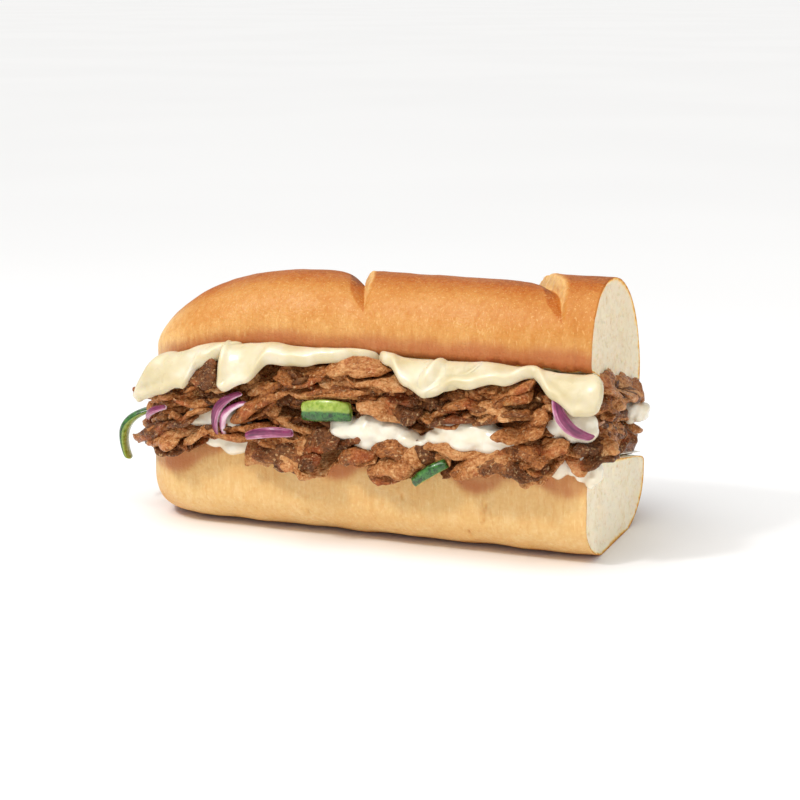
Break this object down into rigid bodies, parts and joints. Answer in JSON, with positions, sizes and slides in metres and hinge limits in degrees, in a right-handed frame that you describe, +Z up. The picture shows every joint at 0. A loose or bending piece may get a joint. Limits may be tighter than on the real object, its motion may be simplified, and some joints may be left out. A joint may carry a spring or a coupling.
{
  "type": "submarine sandwich",
  "caption": "Half-length submarine sandwich: split soft loaf with two scores on top, filled with shaved steak, melted cheese, white sauce, red onion and green pepper, one end cut flat.",
  "frame": {"origin": "middle of the flat strip that the loaf rests on, 76 mm from the cut end", "axes": "+X along the loaf to its cut end, -Y to the side that shows the filling most, +Z up"},
  "size_m": [0.1625, 0.0819, 0.0784],
  "materials": {
    "pale_crust": "soft golden crust with fine wrinkles, cream crumb at the cut",
    "crust": "baked brown crust with a soft sheen, cream crumb at the cut",
    "steak": "moist seared brown meat",
    "cheese": "smooth melted cheese",
    "sauce": "glossy white sauce",
    "onion": "wet red onion with pale flesh",
    "pepper": "glossy green pepper skin with pale flesh"
  },
  "bodies": {
    "root": {"bun_bottom": "pale_crust", "sauce_lower": "sauce", "steak_lower": "steak", "sauce_middle": "sauce", "steak_upper": "steak", "cheese_1": "cheese", "cheese_2": "cheese", "cheese_3": "cheese", "cheese_4": "cheese", "onion_1": "onion", "onion_2": "onion", "onion_3": "onion", "onion_4": "onion", "onion_5": "onion", "onion_6": "onion", "pepper_1": "pepper", "pepper_2": "pepper", "pepper_3": "pepper", "pepper_4": "pepper", "bun_top": "crust"}
  },
  "joints": []
}
